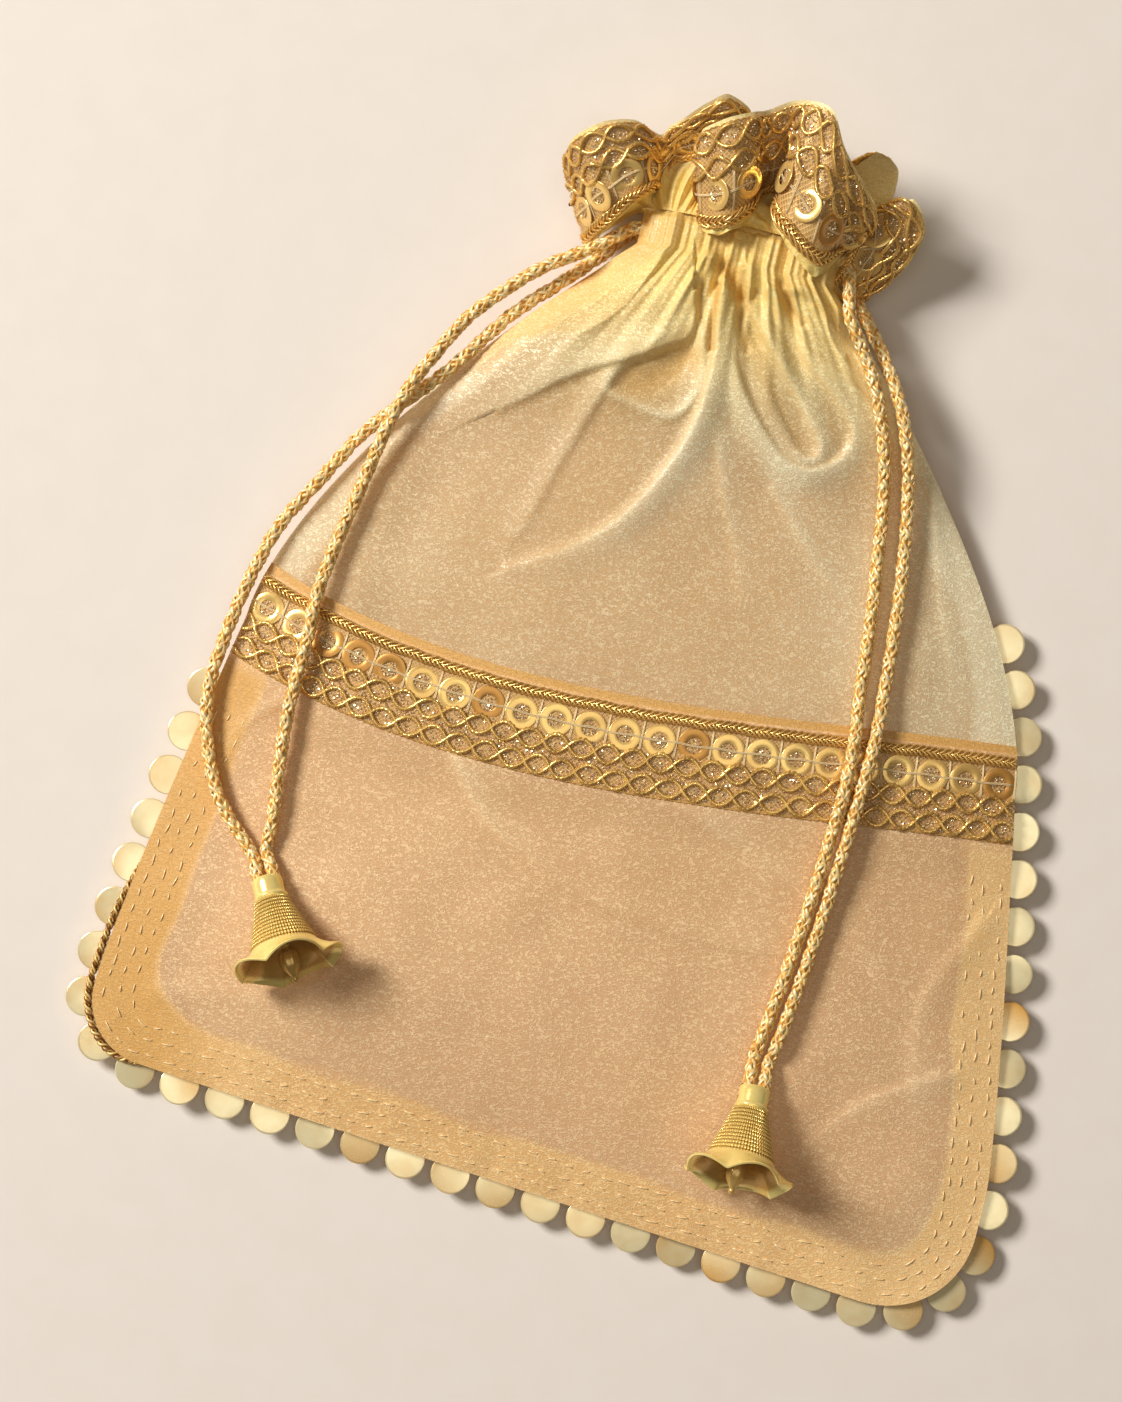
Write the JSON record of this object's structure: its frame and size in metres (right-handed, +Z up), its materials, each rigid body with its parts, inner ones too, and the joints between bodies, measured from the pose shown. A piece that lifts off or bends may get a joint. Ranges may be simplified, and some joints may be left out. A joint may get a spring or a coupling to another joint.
{
  "type": "potli bag",
  "caption": "Drawstring potli bag of sheer organza with a frilled lace mouth, a lace band, a trim of hanging paillettes, and gold cords ending in cast bells.",
  "frame": {"origin": "on the table, under the flat middle of the back panel", "axes": "+Y from the closed bottom towards the mouth, +X across the bag, +Z up off the table"},
  "size_m": [0.2426, 0.2908, 0.0377],
  "materials": {
    "yellow_organza": "sheer woven organza with a soft metallic sheen",
    "peach_organza": "sheer woven organza, peach shot with gold",
    "organza_hem": "organza folded double and stitched",
    "gold_lace": "metallised thread, twisted and stitched to a net",
    "gold_cord": "braided metallised yarn",
    "gold_paillette": "thin mirror-bright disc, slightly mottled",
    "cast_gold": "bright gold plating on a casting",
    "stitching": "fine sewing thread"
  },
  "bodies": {
    "bag": {"back_panel": "peach_organza", "front_lower_panel": "peach_organza", "front_upper_panel": "yellow_organza", "front_lace_band": "gold_lace", "edge_braid": "gold_lace", "neck_casing": "yellow_organza", "neck_frill": "yellow_organza", "mouth_lace": "gold_lace", "bell_left": "cast_gold", "bell_right": "cast_gold", "cross_pin_left": "cast_gold", "cross_pin_right": "cast_gold", "drawcord_left": "gold_cord", "drawcord_right": "gold_cord", "paillette_01": "gold_paillette", "paillette_02": "gold_paillette", "paillette_03": "gold_paillette", "paillette_04": "gold_paillette", "paillette_05": "gold_paillette", "paillette_06": "gold_paillette", "paillette_07": "gold_paillette", "paillette_08": "gold_paillette", "paillette_09": "gold_paillette", "paillette_10": "gold_paillette", "paillette_11": "gold_paillette", "paillette_12": "gold_paillette", "paillette_13": "gold_paillette", "paillette_14": "gold_paillette", "paillette_15": "gold_paillette", "paillette_16": "gold_paillette", "paillette_17": "gold_paillette", "paillette_18": "gold_paillette", "paillette_19": "gold_paillette", "paillette_20": "gold_paillette", "paillette_21": "gold_paillette", "paillette_22": "gold_paillette", "paillette_23": "gold_paillette", "paillette_24": "gold_paillette", "paillette_25": "gold_paillette", "paillette_26": "gold_paillette", "paillette_27": "gold_paillette", "paillette_28": "gold_paillette", "paillette_29": "gold_paillette", "paillette_30": "gold_paillette", "paillette_31": "gold_paillette", "paillette_32": "gold_paillette", "paillette_33": "gold_paillette", "paillette_34": "gold_paillette", "paillette_35": "gold_paillette", "paillette_36": "gold_paillette", "paillette_37": "gold_paillette", "paillette_38": "gold_paillette", "paillette_39": "gold_paillette", "paillette_40": "gold_paillette", "paillette_41": "gold_paillette", "paillette_42": "gold_paillette"},
    "clapper_left": {"clapper_left": "cast_gold"},
    "clapper_right": {"clapper_right": "cast_gold"}
  },
  "joints": [
    {"name": "clapper_left_swing", "type": "hinge", "parent": "bag", "child": "clapper_left", "pos_m": [-0.07659, -0.05258, 0.01657], "axis": [-0.866, -0.5, 0], "range_deg": [0, 36.5]},
    {"name": "clapper_right_swing", "type": "hinge", "parent": "bag", "child": "clapper_right", "pos_m": [0.05147, -0.07533, 0.01807], "axis": [-0.9999, 0.0105, 0], "range_deg": [0, 36.5]}
  ]
}
